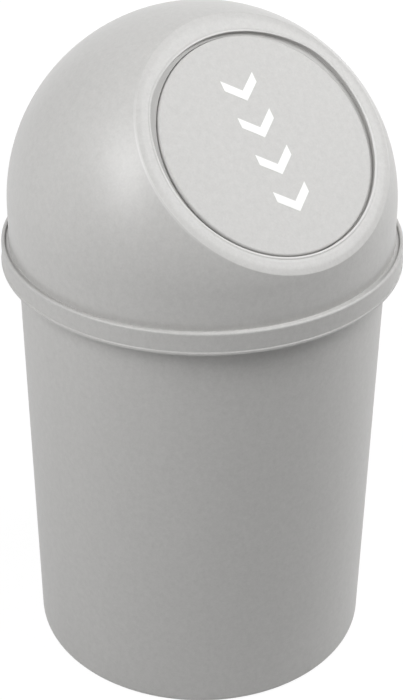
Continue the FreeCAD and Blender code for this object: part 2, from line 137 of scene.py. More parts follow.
def rounded(corners: Sequence[Corner], closed: bool = False) -> Array:
    """A polyline whose corners are rounded.

    A corner with a radius becomes the arc that touches both its sides. With h half the angle between them,
    the arc starts radius / tan(h) along each side, and its points blend the two end radii by the sines of
    the turn that is left and the turn that is done. A short step beside each arc keeps the shading of long
    faces even.

    Args:
        corners: Both places of each corner and its rounding's radius.
        closed: Whether the last corner runs on into the first.

    Returns:
        The points, one row of two places each.
    """
    places = np.array([corner[:2] for corner in corners], dtype=float)
    before = np.roll(places, 1, axis=0)
    after = np.roll(places, -1, axis=0)
    last = len(corners) - 1
    runs = []
    for index, (_, _, radius) in enumerate(corners):
        corner = places[index]
        if radius == 0.0 or (not closed and index in (0, last)):
            runs.append(corner[None])
            continue
        back = unit(before[index] - corner)
        onward = unit(after[index] - corner)
        half = 0.5 * math.acos(float(np.clip(back @ onward, -1.0, 1.0)))
        turn = math.pi - 2.0 * half
        reach = radius / math.tan(half)
        centre = corner + unit(back + onward) * radius / math.sin(half)
        steps = max(LEAST_ARC_STEPS, math.ceil(turn / ARC_STEP))
        share = np.linspace(0.0, 1.0, steps + 1)[:, None]
        first = corner + back * reach - centre
        final = corner + onward * reach - centre
        blend = np.sin((1.0 - share) * turn) * first + np.sin(share * turn) * final
        arc = centre + blend / math.sin(turn)
        step = reach + EASE_SHARE * radius
        runs.append(np.vstack([corner + back * step, arc, corner + onward * step]))
    return np.vstack(runs)


def grid_shell(points: Array, close_rows: bool, close_columns: bool) -> Shell:
    """A grid of points as four-cornered faces between neighbouring rows and columns.

    Args:
        points: Rows by columns by three.
        close_rows: Whether the last row joins the first.
        close_columns: Whether the last column joins the first.

    Returns:
        The points in one list, and the four corners of each face.
    """
    rows, columns = points.shape[:2]
    index = np.arange(rows * columns).reshape(rows, columns)
    if close_rows:
        index = np.vstack([index, index[:1]])
    if close_columns:
        index = np.hstack([index, index[:, :1]])
    corners = [index[:-1, :-1], index[:-1, 1:], index[1:, 1:], index[1:, :-1]]
    return points.reshape(-1, 3), np.stack(corners, axis=-1).reshape(-1, 4)


def turned(axes: Axes, profile: Array, columns: int) -> Shell:
    """A profile turned about the axes' out direction: each of its points becomes a ring.

    Args:
        axes: Where the profile stands.
        profile: Rows of radius and height.
        columns: Steps round the turn.

    Returns:
        The turned shell.
    """
    angle = np.linspace(0.0, FULL_TURN, columns, endpoint=False)
    return grid_shell(axes.ring(profile[:, :1], profile[:, 1:], angle), False, True)


def carried(sections: Array) -> Shell:
    """Closed sections in a row, joined into a tube whose ends are filled towards their middles.

    Args:
        sections: Stations by points of the section by three.

    Returns:
        The closed tube.
    """
    middles = sections[[0, -1]].mean(axis=1, keepdims=True) + np.zeros_like(sections[[0, -1]])
    return grid_shell(np.concatenate([middles[:1], sections, middles[1:]]), False, True)


def cut_ring(axes: Axes, section: Array, line: float, above: bool, columns: int) -> Shell:
    """A closed section carried round a ring that a straight line across it cuts short.

    At the radius r the line is met at the angle acos(line / r) from the way up. Each point of the section
    runs between that angle and the same on the other side, over the top or round the bottom, so both ends
    are flat.

    Args:
        axes: The ring's middle.
        section: Rows of radius and height.
        line: How far up from the middle the line lies.
        above: Whether the part above the line is kept, or the part below it.
        columns: Steps round the ring.

    Returns:
        The closed shell.
    """
    radius, height = section[:, 0], section[:, 1]
    meeting = np.arccos(line / radius)
    share = np.linspace(0.0, 1.0, columns)[:, None]
    angle = meeting * (2.0 * share - 1.0) if above else meeting + (FULL_TURN - 2.0 * meeting) * share
    return carried(axes.ring(radius, height, angle))


def circles(path: Array, along: Array, radius: float, columns: int) -> Array:
    """Circles across a path, which are the sections of a round wire.

    With d the path's direction and x the first axis, the two square radii of each circle lie along x cross d
    and along d cross that.

    Args:
        path: Stations by three.
        along: The path's direction at each station, of any length.
        radius: The circles' radius.
        columns: Points of each circle.

    Returns:
        Stations by points by three.
    """
    along = along / np.linalg.norm(along, axis=1, keepdims=True)
    across = np.cross(np.array([1.0, 0.0, 0.0]), along)
    across /= np.linalg.norm(across, axis=1, keepdims=True)
    third = np.cross(along, across)
    turn = np.linspace(0.0, FULL_TURN, columns, endpoint=False)[:, None]
    return path[:, None] + radius * (np.cos(turn) * across[:, None] + np.sin(turn) * third[:, None])


def slab(axes: Axes, outline: Array, start: float, stop: float, ease: float) -> Shell:
    """An outline in the up and out directions given a thickness along the side, with eased edges.

    The sections at both faces are drawn in towards the outline's middle by the easing, and full just inside.

    Args:
        axes: Where the outline stands.
        outline: Rows of up and out.
        start: First face, along the side direction.
        stop: Second face.
        ease: Width of the eased edges.

    Returns:
        The closed slab.
    """
    middle = outline.mean(axis=0)
    spread = np.linalg.norm(outline - middle, axis=1).max()
    draw = np.array([1.0 - ease / spread, 1.0, 1.0, 1.0 - ease / spread])[:, None, None]
    place = np.array([start, start + ease, stop - ease, stop])[:, None]
    drawn = middle + (outline - middle) * draw
    return carried(axes.place(place, drawn[..., 0], drawn[..., 1]))


def pierced(axes: Axes, outline: Array, hole: float, start: float, stop: float) -> Shell:
    """An outline round a hole at the axes' origin, given a thickness along the side direction.

    Each point of the outline has a partner on the hole in the same direction: hole times the unit vector.

    Args:
        axes: The hole's middle.
        outline: Rows of up and out, seen from the hole's middle.
        hole: The hole's radius.
        start: First face, along the side direction.
        stop: Second face.

    Returns:
        The closed shell with its bore.
    """
    inner = hole * outline / np.linalg.norm(outline, axis=1, keepdims=True)
    loops = np.stack([outline, outline, inner, inner])
    place = np.array([start, stop, stop, start])[:, None]
    return grid_shell(axes.place(place, loops[..., 0], loops[..., 1]), True, True)


def outward(shell: Shell) -> Shell:
    """Turns a shell's faces outwards.

    The sum of a dot (b cross c) over the triangles, six times the volume inside, is positive if they point
    outwards.

    Args:
        shell: A closed shell.

    Returns:
        The shell, with its faces turned if that sum is negative.
    """
    points, quads = shell
    first, second, third, fourth = (points[quads[:, corner]] for corner in range(4))
    volume = np.sum(first * np.cross(second, third)) + np.sum(first * np.cross(third, fourth))
    return shell if volume > 0.0 else (points, quads[:, ::-1])


def welded(shell: Shell) -> Shell:
    """Makes points that coincide one, so that poles and seams are closed.

    Args:
        shell: A shell whose points may lie on each other.

    Returns:
        The shell with each place once.
    """
    points, quads = shell
    steps = np.round(points / WELD_STEP)
    _, keep, inverse = np.unique(steps, axis=0, return_index=True, return_inverse=True)
    return points[keep], inverse.reshape(-1)[quads]


def solid_mesh(name: str, shells: Sequence[Shell]) -> bpy.types.Mesh:
    """One mesh of several closed shells, in metres.

    A corner that repeats the one before it is left out, so a face at a pole becomes a triangle.

    Args:
        name: The mesh's name.
        shells: The shells in millimetres.

    Returns:
        The mesh, smooth except at sharp edges.
    """
    sound = [welded(outward(shell)) for shell in shells]
    offsets = np.cumsum([0] + [len(points) for points, _ in sound])
    points = np.vstack([points for points, _ in sound]) * MILLIMETRE
    quads = np.vstack([quads + offset for (_, quads), offset in zip(sound, offsets)])
    fresh = quads != np.roll(quads, 1, axis=1)
    faces = fresh.sum(axis=1) > 2
    loops = quads[faces][fresh[faces]]
    starts = np.concatenate([[0], np.cumsum(fresh[faces].sum(axis=1))[:-1]])

    mesh = bpy.data.meshes.new(name)
    mesh.vertices.add(len(points))
    mesh.vertices.foreach_set("co", points.astype(np.float32).ravel())
    mesh.loops.add(len(loops))
    mesh.loops.foreach_set("vertex_index", loops.astype(np.int32))
    mesh.polygons.add(len(starts))
    mesh.polygons.foreach_set("loop_start", starts.astype(np.int32))
    mesh.polygons.foreach_set("use_smooth", np.ones(len(starts), dtype=bool))
    mesh.update(calc_edges=True)
    mesh.validate()
    mesh.set_sharp_from_angle(angle=SHARP_ANGLE)
    return mesh


# Shader graphs


class Graph:
    """The nodes of one material or world."""

    def __init__(self, tree: bpy.types.NodeTree) -> None:
        """Takes over a node tree and empties it."""
        self.tree = tree
        tree.nodes.clear()

    def add(self, kind: str, settings: dict | None = None, inputs: dict | None = None) -> bpy.types.Node:
        """Adds any node.

        Args:
            kind: The node's type.
            settings: Its settings, set first.
            inputs: Values or links of its sockets, by name or number.

        Returns:
            The node.
        """
        node = self.tree.nodes.new(kind)
        for name, setting in (settings or {}).items():
            setattr(node, name, setting)
        for name, given in (inputs or {}).items():
            if isinstance(given, Wire):
                self.tree.links.new(given.socket, node.inputs[name])
            else:
                node.inputs[name].default_value = given
        return node

    def wire(
        self, kind: str, output: str | int, settings: dict | None = None, inputs: dict | None = None
    ) -> "Wire":
        """Adds any node and takes one of its outputs."""
        return Wire(self, self.add(kind, settings, inputs).outputs[output])

    def maths(self, operation: str, first: "Wire | float", second: "Wire | float") -> "Wire":
        """Adds one Math node."""
        return self.wire("ShaderNodeMath", 0, {"operation": operation}, {0: first, 1: second})

    def noise(self, place: "Wire", scale: float, detail: float) -> "Wire":
        """Adds a noise of a number of waves per metre, about 0 to 1."""
        inputs = {"Vector": place, "Scale": scale, "Detail": detail}
        return self.wire("ShaderNodeTexNoise", "Fac", None, inputs)

    def bump(self, height: "Wire", strength: float, distance: float) -> "Wire":
        """Adds a bump of a strength, over a distance in metres."""
        inputs = {"Height": height, "Strength": strength, "Distance": distance}
        return self.wire("ShaderNodeBump", 0, None, inputs)

    def vector(self, operation: str, output: str, place: "Wire", other: "Wire | Point") -> "Wire":
        """Adds one Vector Math node."""
        settings = {"operation": operation}
        return self.wire("ShaderNodeVectorMath", output, settings, {0: place, 1: other})

    def stretched(self, place: "Wire", stretch: Point) -> "Wire":
        """The place with each axis multiplied."""
        return self.vector("MULTIPLY", "Vector", place, stretch)

    def tint(self, factor: "Wire", dark: "Wire | Point", light: "Wire | Point") -> "Wire":
        """Mixes two colours by a factor."""
        first, second = (given if isinstance(given, Wire) else (*given, 1.0) for given in (dark, light))
        inputs = {MIX_FACTOR: factor, MIX_FIRST: first, MIX_SECOND: second}
        return self.wire("ShaderNodeMix", MIX_RESULT, {"data_type": "RGBA"}, inputs)

    def along(self, place: "Wire", way: "Wire | Point") -> "Wire":
        """How far the place lies along a way, as their dot product."""
        return self.vector("DOT_PRODUCT", "Value", place, way)


class Wire:
    """A shader socket that takes part in Python sums."""

    def __init__(self, graph: Graph, socket: bpy.types.NodeSocket) -> None:
        """Keeps the socket and the graph that it belongs to."""
        self.graph = graph
        self.socket = socket

    def __add__(self, other: "Wire | float") -> "Wire":
        """This plus other."""
        return self.graph.maths("ADD", self, other)

    def __radd__(self, other: float) -> "Wire":
        """Other plus this."""
        return self.graph.maths("ADD", other, self)

    def __sub__(self, other: "Wire | float") -> "Wire":
        """This minus other."""
        return self.graph.maths("SUBTRACT", self, other)

    def __rsub__(self, other: float) -> "Wire":
        """Other minus this."""
        return self.graph.maths("SUBTRACT", other, self)

    def __mul__(self, other: "Wire | float") -> "Wire":
        """This times other."""
        return self.graph.maths("MULTIPLY", self, other)

    def __rmul__(self, other: float) -> "Wire":
        """Other times this."""
        return self.graph.maths("MULTIPLY", other, self)

    def rise(self, start: float = 0.0, stop: float = 1.0) -> "Wire":
        """Nothing up to the start, one from the stop on, and an even rise between.

        Args:
            start: Where the rise starts.
            stop: Where it ends.

        Returns:
            The rise, from a ramp between black and white.
        """
        node = self.graph.add("ShaderNodeValToRGB", None, {"Fac": self})
        for element, place in zip(node.color_ramp.elements, (start, stop)):
            element.position = place
        return Wire(self.graph, node.outputs["Color"])


# Finishes


class Finish(Protocol):
    """Anything that can make its own material."""

    def material(self) -> bpy.types.Material:
        """Makes the material."""


def shader_graph(name: str) -> tuple[bpy.types.Material, Graph, Wire]:
    """Starts a material.

    Args:
        name: The material's name.

    Returns:
        The material, its graph and the place on the object.
    """
    made = bpy.data.materials.new(name)
    made.use_nodes = True
    graph = Graph(made.node_tree)
    return made, graph, graph.wire("ShaderNodeTexCoord", "Object")


def shade(colour: Point, factor: float) -> Point:
    """The colour with each of its levels multiplied."""
    return tuple(factor * level for level in colour)


def surface(graph: Graph, inputs: dict) -> None:
    """Ends a graph in one surface shader with the given sockets."""
    shader = graph.wire("ShaderNodeBsdfPrincipled", "BSDF", None, inputs)
    graph.add("ShaderNodeOutputMaterial", None, {"Surface": shader})


@dataclass(frozen=True)
class RingMark:
    """A ring on a surface painted paler as a highlight, or darker as shade, in millimetres.

    The ring lies between two radii and two heights along its axis. Its radii are those up and down, and the
    ones to the sides are these over share. It may start only a way aside of the middle.
    """

    axes: Axes
    colour: Point
    inner: float
    outer: float
    low: float
    high: float
    share: float = 1.0
    aside: float = 0.0
    fade: float = 10.0
    ease: float = 0.2

    @staticmethod
    def past(place: Wire, limit: float, ease: float) -> Wire:
        """One where the place in metres is past a limit in millimetres by the ease, and nothing before it."""
        scaled = 0.5 + (0.5 / (MILLIMETRE * ease)) * (place - MILLIMETRE * limit)
        return scaled.rise()

    def between(self, place: Wire, low: float, high: float) -> Wire:
        """One between two limits and nothing elsewhere, with eased ends."""
        return self.past(place, low, self.ease) * (1.0 - self.past(place, high, self.ease))

    def mask(self, graph: Graph, place: Wire) -> Wire:
        """One on the ring and nothing elsewhere.

        With q the place from the axes' origin, the height is q along the out direction, and the distance from
        the axis is sqrt(q q - height height), with the sideways part of it shortened to its share.

        Args:
            graph: The material's graph.
            place: The place on the object, in metres.

        Returns:
            The mask.
        """
        start = tuple(MILLIMETRE * level for level in self.axes.origin)
        moved = graph.vector("SUBTRACT", "Vector", place, start)
        height = graph.along(moved, self.axes.out)
        side = graph.along(moved, self.axes.side)
        square = graph.along(moved, moved) - height * height - (1.0 - self.share ** 2) * (side * side)
        distance = graph.maths("SQRT", square, 0.0)
        ring = self.between(distance, self.inner, self.outer) * self.between(height, self.low, self.high)
        if self.aside == 0.0:
            return ring
        return ring * self.past(graph.maths("ABSOLUTE", side, 0.0), self.aside, self.fade)


@dataclass(frozen=True)
class MouldedPlastic:
    """Moulded plastic: a spark-eroded grain, clouds from the melt's flow, scuffs and rings of painted light
    and shade.
    """

    name: str
    colour: Point
    variation: float = 0.16
    roughness: float = 0.46
    refraction: float = 1.49
    grain_per_metre: float = 1000.0
    grain_strength: float = 0.10
    grain_depth: float = 0.0004
    mottle_per_metre: float = 330.0
    flow_per_metre: float = 26.0
    flow_stretch: Point = (1.0, 1.0, 0.35)
    scuffs_per_metre: Point = (900.0, 900.0, 40.0)
    scuff_range: tuple[float, float] = (0.66, 0.78)
    colour_shares: Point = (0.5, 0.4, 0.1)
    height_shares: tuple[float, float] = (0.7, 0.3)
    grain_gloss: float = 0.12
    cloud_gloss: float = 0.10
    scuff_gloss: float = 0.05
    marks: tuple[RingMark, ...] = ()

    def material(self) -> bpy.types.Material:
        """Three noises drift the colour, clouds, grain and scuffs the gloss, and the grain raises a bump.

        Returns:
            The material.
        """
        made, graph, place = shader_graph(self.name)
        grain = graph.noise(place, self.grain_per_metre, detail=2.0)
        mottle = graph.noise(place, self.mottle_per_metre, detail=1.0)
        clouds = graph.noise(graph.stretched(place, self.flow_stretch), self.flow_per_metre, detail=3.0)
        scuffs = graph.noise(graph.stretched(place, self.scuffs_per_metre), 1.0, detail=2.0)
        scuffs = scuffs.rise(*self.scuff_range)
        of_grain, of_mottle, of_clouds = self.colour_shares
        drift = of_grain * grain + of_mottle * mottle + of_clouds * clouds
        dark, light = shade(self.colour, 1.0 - self.variation), shade(self.colour, 1.0 + self.variation)
        colour = graph.tint(drift, dark, light)
        # Each ring mark paints a highlight, paler, or shade, darker, over the colour.
        for mark in self.marks:
            colour = graph.tint(mark.mask(graph, place), colour, mark.colour)
        gloss = self.roughness + self.cloud_gloss * (clouds - NOISE_MIDDLE)
        gloss = gloss + self.grain_gloss * (grain - NOISE_MIDDLE) - self.scuff_gloss * scuffs
        of_grain, of_mottle = self.height_shares
        height = of_grain * grain + of_mottle * mottle
        surface(graph, {
            "Base Color": colour,
            "Roughness": gloss,
            "IOR": self.refraction,
            "Normal": graph.bump(height, self.grain_strength, self.grain_depth),
        })
        return made


@dataclass(frozen=True)
class DrawnSteel:
    """Drawn steel with fine lines along the draw and a little tarnish."""

    name: str
    colour: Point
    lines_per_metre: Point
    roughness: float = 0.30
    line_strength: float = 0.15
    line_depth: float = 0.0001
    line_gloss: float = 0.18
    tarnish_per_metre: float = 240.0
    tarnish_range: tuple[float, float] = (0.35, 0.6)
    tarnish_shade: float = 0.72
    tarnish_gloss: float = 0.12

    def material(self) -> bpy.types.Material:
        """Stretched noise makes the draw lines, in gloss and bump, and a broad noise the tarnish.

        Returns:
            The material.
        """
        made, graph, place = shader_graph(self.name)
        lines = graph.noise(graph.stretched(place, self.lines_per_metre), 1.0, detail=3.0)
        tarnish = graph.noise(place, self.tarnish_per_metre, detail=3.0)
        dark = shade(self.colour, self.tarnish_shade)
        gloss = self.roughness + self.line_gloss * (lines - NOISE_MIDDLE)
        surface(graph, {
            "Base Color": graph.tint(tarnish.rise(*self.tarnish_range), dark, self.colour),
            "Metallic": 1.0,
            "Roughness": gloss + self.tarnish_gloss * (1.0 - tarnish),
            "Normal": graph.bump(lines, self.line_strength, self.line_depth),
        })
        return made


@dataclass(frozen=True)
class WhitePrint:
    """White pad-print ink, which lets the moulded grain show through faintly."""

    name: str
    colour: Point = (0.90, 0.90, 0.89)
    thin_shade: float = 0.93
    roughness: float = 0.42
    grain_per_metre: float = 1500.0
    grain_strength: float = 0.08
    grain_depth: float = 0.0003
    grain_gloss: float = 0.15

    def material(self) -> bpy.types.Material:
        """Fine noise varies the ink's cover and gloss.

        Returns:
            The material.
        """
        made, graph, place = shader_graph(self.name)
        cover = graph.noise(place, self.grain_per_metre, detail=2.0)
        surface(graph, {
            "Base Color": graph.tint(cover, shade(self.colour, self.thin_shade), self.colour),
            "Roughness": self.roughness + self.grain_gloss * (cover - NOISE_MIDDLE),
            "Normal": graph.bump(cover, self.grain_strength, self.grain_depth),
        })
        return made


def put_piece(
    name: str,
    shells: Sequence[Shell],
    finish: Finish,
    body: Body | None,
    nodes: Sequence[str] = (),
) -> bpy.types.Object:
    """Makes one piece and sets it on its body.

    Args:
        name: The piece's name.
        shells: Its closed shells in millimetres.
        finish: Its finish.
        body: The body that it moves with, or None to set it on none.
        nodes: The nodes that it stands for.

    Returns:
        The piece.
    """
    mesh = solid_mesh(name, shells)
    mesh.materials.append(finish.material())
    piece = bpy.data.objects.new(name, mesh)
    bpy.context.scene.collection.objects.link(piece)
    if body is not None:
        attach(piece, body.value)
    if nodes:
        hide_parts(*nodes)
    LOG.info("%s: %d points, %d faces", name, len(mesh.vertices), len(mesh.polygons))
    return piece


# The bin


UPRIGHT = Axes((0.0, 0.0, 0.0), (1.0, 0.0, 0.0), (0.0, 1.0, 0.0), (0.0, 0.0, 1.0))


@dataclass
class Tub:
    """The tapered tub with its foot, rim ledge and overhanging band, in millimetres."""

    rim_radius: float = 108.0
    rim_height: float = 251.5
    band_height: float = 12.5
    band_wall: float = 2.5
    ledge_drop: float = 3.5
    ledge_thickness: float = 2.2
    top_radius: float = 99.3
    base_radius: float = 95.0
    wall: float = 2.0
    foot_height: float = 2.0
    foot_inner: float = 86.0
    floor_top: float = 4.2
    floor_radius: float = 93.07
    base_round: float = 4.0
    band_round: float = 1.2
    bead_height: float = 1.5
    bead_proud: float = 0.4
    bead_round: float = 0.6
    small_round: float = 0.5
    columns: int = 256

    @property
    def ledge_top(self) -> float:
        """The level of the ledge that the lid stands on."""
        return self.rim_height - self.ledge_drop

    def profile(self) -> Array:
        """The section from the middle of the underside, round the band's bead, to the middle of the floor.

        Returns:
            Rows of radius and height.
        """
        band_inner = self.rim_radius - self.band_wall
        band_face = self.rim_radius - self.bead_proud
        band_bottom = self.rim_height - self.band_height
        bead_top = band_bottom + self.bead_height
        ledge_bottom = self.ledge_top - self.ledge_thickness
        return rounded([
            (0.0, self.foot_height, 0.0),
            (self.foot_inner, self.foot_height, self.small_round),
            (self.foot_inner, 0.0, self.small_round),
            (self.base_radius, 0.0, self.base_round),
            (self.top_radius, ledge_bottom, self.small_round),
            (band_inner, ledge_bottom, self.small_round),
            (band_inner, band_bottom, self.small_round),
            (self.rim_radius, band_bottom, self.bead_round),
            (self.rim_radius, bead_top, self.bead_round),
            (band_face, bead_top + self.bead_proud, self.bead_round),
            (band_face, self.rim_height, self.band_round),
            (band_inner, self.rim_height, self.small_round),
            (band_inner, self.ledge_top, self.small_round),
            (self.top_radius - self.wall, self.ledge_top, self.small_round),
            (self.floor_radius, self.floor_top, self.base_round - self.wall),
            (0.0, self.floor_top, 0.0),
        ])

    def build(self, finish: Finish) -> None:
        """Turns the section about the upright axis.

        Args:
            finish: The tub's plastic.
        """
        shell = turned(UPRIGHT, self.profile(), self.columns)
        put_piece("tub_shell", [shell], finish, Body.TUB, ["tub"])


@dataclass
class Lid:
    """The dome lid with its sloping land, lip, gap ledge, return wall, skirt and hinge lugs, in millimetres.

    The heights of the land, its seat and the pin lie along the slope's normal from the dome's centre, and
    those of the brim, web and skirt are levels over the floor.
    """

    tub: Tub
    dome_rise: float = 20.0
    tilt: float = 45.0
    ball_radius: float = 103.5
    wall: float = 2.0
    tuck: float = 3.0
    land_height: float = 73.9
    land_edge: float = 70.6
    land_fall: float = 0.3
    land_round: float = 0.9
    land_turn: float = 40.7
    opening: float = 62.511
    opening_lift: float = 1.2
    lip_height: float = 0.55
    lip_width: float = 0.95
    lip_round: float = 0.45
    lip_fall: float = 0.5
    crest_height: float = 0.4
    crest_share: float = 0.75
    crest_place: float = 65.2
    crest_round: float = 10.0
    ledge_radius: float = 59.62
    ledge_lowered: float = 1.5
    ledge_depth: float = 1.8
    ledge_wall: float = 0.9
    ledge_round: float = 0.3
    ledge_back_round: float = 0.2
    brow_spread: float = 7.5
    brow_drop: float = 3.1
    brow_ease: float = 0.5
    return_depth: float = 4.0
    shelf_width: float = 5.5
    shelf_below_pin: float = 1.2
    shelf_root: float = 0.1
    brim_gap: float = 0.1
    brim_thickness: float = 2.2
    web_rise: float = 2.5
    skirt_gap: float = 0.6
    skirt_wall: float = 1.8
    skirt_depth: float = 7.5
    lug_start: float = 21.5
    lug_width: float = 4.0
    lug_hole: float = 2.02
    barrel_radius: float = 4.5
    barrel_steps: int = 16
    post_inner: float = 59.763
    post_depth: float = 4.0
    post_rise: float = 1.0
    post_inset: float = 0.02
    post_ease: float = 0.2
    pin_drop: float = 18.0
    pin_out: float = 62.0
    small_round: float = 0.4
    # Extent of the painted shade in the gap and of the painted highlights on the lip and the land's edge.
    split_height: float = 0.15
    gap_shade_reach: float = 2.5
    edge_highlight_start: float = 0.2
    edge_highlight_depth: float = 1.2
    edge_highlight_aside: float = 62.0
    columns: int = 256
    ball_rows: int = 48
    wall_rows: int = 8
    round_rows: int = 10

    @property
    def centre_height(self) -> float:
        """The level of the dome's centre."""
        return self.tub.rim_height + self.dome_rise

    @property
    def seat_height(self) -> float:
        """The back of the return wall, which the flap's flange stops against."""
        return self.land_height - self.return_depth

    @property
    def shelf_back(self) -> float:
        """The back of the shelf."""
        return self.seat_height - self.wall

    @property
    def shelf_inner(self) -> float:
        """The shelf's inner radius."""
        return self.opening - self.shelf_width

    @property
    def brow_top(self) -> float:
        """How far up the slope the brow reaches."""
        return self.opening - self.brow_drop

    @property
    def pin_up(self) -> float:
        """How far up the slope the pin lies."""
        return self.opening - self.pin_drop

    @property
    def brim_top(self) -> float:
        """The level of the brim's top."""
        return self.tub.ledge_top + self.brim_thickness

    @property
    def slope(self) -> Axes:
        """The slope's axes from the dome's centre: up the slope and out along its normal."""
        lean = math.radians(self.tilt)
        up = (0.0, math.cos(lean), math.sin(lean))
        out = (0.0, -math.sin(lean), math.cos(lean))
        return Axes((0.0, 0.0, self.centre_height), (1.0, 0.0, 0.0), up, out)

    @property
    def pin_axes(self) -> Axes:
        """The slope's axes moved to the middle of the pin."""
        return self.slope.moved(up=self.pin_up, out=self.pin_out)

    @staticmethod
    def upright(radius: Array, level: Array, heading: Array) -> Array:
        """Rows of points at a radius along each column's level heading, and at a level.

        Args:
            radius: Each row's distance from the upright axis.
            level: Each row's height.
            heading: Each column's direction, level and of length one.

        Returns:
            Rows by columns by three.
        """
        reach = radius[..., None] * heading
        levels = np.broadcast_to(level, reach.shape[:2])
        return np.concatenate([reach, levels[..., None]], axis=-1)

    @staticmethod
    def reach(radius: float, lift: float, angle: Array) -> Array:
        """How far a circle lies from the slope's middle at each angle from the way up.

        With its middle c up, a circle of radius R reaches c cos(p) + sqrt(R^2 - (c sin(p))^2) at the angle p.
        """
        return lift * np.cos(angle) + np.sqrt(radius ** 2 - (lift * np.sin(angle)) ** 2)

    def opening_edge(self, angle: Array) -> Array:
        """The opening's edge at each angle: its own circle, eased into a wider and lower one at the brow.

        The lesser of the two, a and b, is eased as half of a + b - hypot(a - b, ease).

        Args:
            angle: Angles from the way up.

        Returns:
            The edge's distance from the slope's middle.
        """
        opening = self.reach(self.opening, self.opening_lift, angle)
        brow_radius = self.opening + self.brow_spread
        brow = self.reach(brow_radius, self.brow_top - brow_radius, angle)
        return 0.5 * (opening + brow - np.hypot(opening - brow, self.brow_ease))

    def ball(
        self, radius: float, start: float, angle: Array, dip: float, fade: float
    ) -> tuple[Array, Array]:
        """Rows down the ball along great circles from the land.

        At the angle t from the slope's normal and p round it, the ball's height over its centre is the radius
        times cos(t) cos(T) + sin(t) sin(T) cos(p), with T the tilt. That is a wave A cos(t - q), so the rows
        end at t = q + acos(-tuck / radius / A), where the upright wall begins. The surface is dipped beside
        the land by dip times e to the power of minus the way from there over fade.

        Args:
            radius: The ball's radius.
            start: Angle from the normal at which the rows start.
            angle: Angle round the normal, one for each column.
            dip: How far the surface is dipped where the rows start.
            fade: The way in which the dip falls to e's share of itself.

        Returns:
            The rows of points, and the dip that is left in the last row.
        """
        lean = math.radians(self.tilt)
        wave = np.hypot(math.cos(lean), math.sin(lean) * np.cos(angle))
        phase = np.arctan2(math.sin(lean) * np.cos(angle), math.cos(lean))
        stop = phase + np.arccos(-self.tuck / radius / wave)
        turn = start + (stop - start) * np.linspace(0.0, 1.0, self.ball_rows + 1)[1:, None]
        sunk = dip * np.exp((start - turn) * radius / fade)
        reach = radius - sunk
        return self.slope.ring(reach * np.sin(turn), reach * np.cos(turn), angle), sunk[-1]

    def marks(self, painted_highlight: Point, painted_shade: Point) -> tuple[RingMark, ...]:
        """Painted shade in the gap, and painted highlights on the lip round the opening and on the land's
        edge at both sides.

        The gap and the lip follow the oval that the opening's lowest and highest places make.

        Args:
            painted_highlight: Colour of the painted highlights, paler than the plastic.
            painted_shade: Colour of the painted shade in the gap.

        Returns:
            The three marks.
        """
        lowest = self.opening - self.opening_lift
        half = 0.5 * (self.brow_top + lowest)
        middle = self.slope.moved(up=0.5 * (self.brow_top - lowest))
        share = (half + self.lip_width) / (self.opening + self.lip_width)
        inner = self.shelf_inner
        split_level = self.land_height + self.split_height
        edge = self.land_edge - self.edge_highlight_start
        edge_end = self.land_edge + self.land_round
        edge_low = self.land_height - self.edge_highlight_depth
        return (
            # Painted shade: darkens the gap and its ledge, which the lip shades.
            RingMark(middle, painted_shade, inner, half + self.gap_shade_reach, self.seat_height, split_level, share),
            # Painted highlight: pales the lip round the opening.
            RingMark(middle, painted_highlight, inner, half + self.lip_width, split_level, split_level + self.wall, share),
            # Painted highlight: pales the land's edge at the left and right sides.
            RingMark(self.slope, painted_highlight, edge, edge_end, edge_low, split_level, aside=self.edge_highlight_aside),
        )

    def land_section(self) -> Array:
        """The face's section: up the return wall, round the gap's ledge, over the lip and down the land.

        Returns:
            Rows of radius and height.
        """
        land = self.land_height
        ledge = land - self.ledge_depth
        ledge_back = ledge - self.ledge_wall
        lip = land + self.lip_height
        lip_edge = self.opening + self.lip_width
        flank = land + self.crest_share * self.crest_height
        middle = 0.5 * (self.crest_place + self.land_edge)
        return rounded([
            (self.opening, self.seat_height, 0.0),
            (self.opening, ledge_back, self.ledge_back_round),
            (self.ledge_radius, ledge_back, self.ledge_back_round),
            (self.ledge_radius, ledge, self.ledge_round),
            (self.opening, ledge, self.ledge_round),
            (self.opening, lip, self.lip_round),
            (lip_edge, lip, self.lip_round),
            (lip_edge + self.lip_fall, flank, self.lip_round),
            (self.crest_place, land + self.crest_height, 2.0 * self.lip_round),
            (middle, flank, self.crest_round),
            (self.land_edge, land - self.land_fall, 0.0),
        ])

    def face(self, angle: Array) -> Array:
        """Rows of the face's section, drawn in where the opening's edge or the ledge's lies nearer.

        What lies past the opening is moved with its edge, by a share that fades from the lip to the land's
        edge, and what lies within it is spread between the opening's edge and the ledge's.

        Args:
            angle: Angle round the slope's normal, one for each column.

        Returns:
            Rows by columns by three.
        """
        section = self.land_section()
        radius, height = section[:, :1], section[:, 1:]
        lip_edge = self.opening + self.lip_width
        edge = self.opening_edge(angle)
        ledge = self.reach(self.ledge_radius, -self.ledge_lowered, angle)
        fading = np.clip((self.land_edge - radius) / (self.land_edge - lip_edge), 0.0, 1.0)
        spread = (self.opening - radius) / (self.opening - self.ledge_radius)
        beyond = radius - fading * (self.opening - edge)
        within = edge - spread * (edge - ledge)
        return self.slope.ring(np.where(radius < self.opening, within, beyond), height, angle)

    def land_turned_down(self) -> tuple[Array, Array]:
        """The land's outer edge, rounded from the end of the face's fall to the turn into the dome.

        At the turn s the radius has grown by the rounding times sin(s) - sin(start), and the height has
        fallen by the rounding times cos(start) - cos(s).

        Returns:
            Radius and height of each row, as columns.
        """
        before, end = self.land_section()[-2:]
        start = math.atan2(before[1] - end[1], end[0] - before[0])
        turn = np.linspace(start, math.radians(self.land_turn), self.round_rows + 1)[1:, None]
        radius = self.land_edge + self.land_round * (np.sin(turn) - math.sin(start))
        height = end[1] - self.land_round * (math.cos(start) - np.cos(turn))
        return radius, height

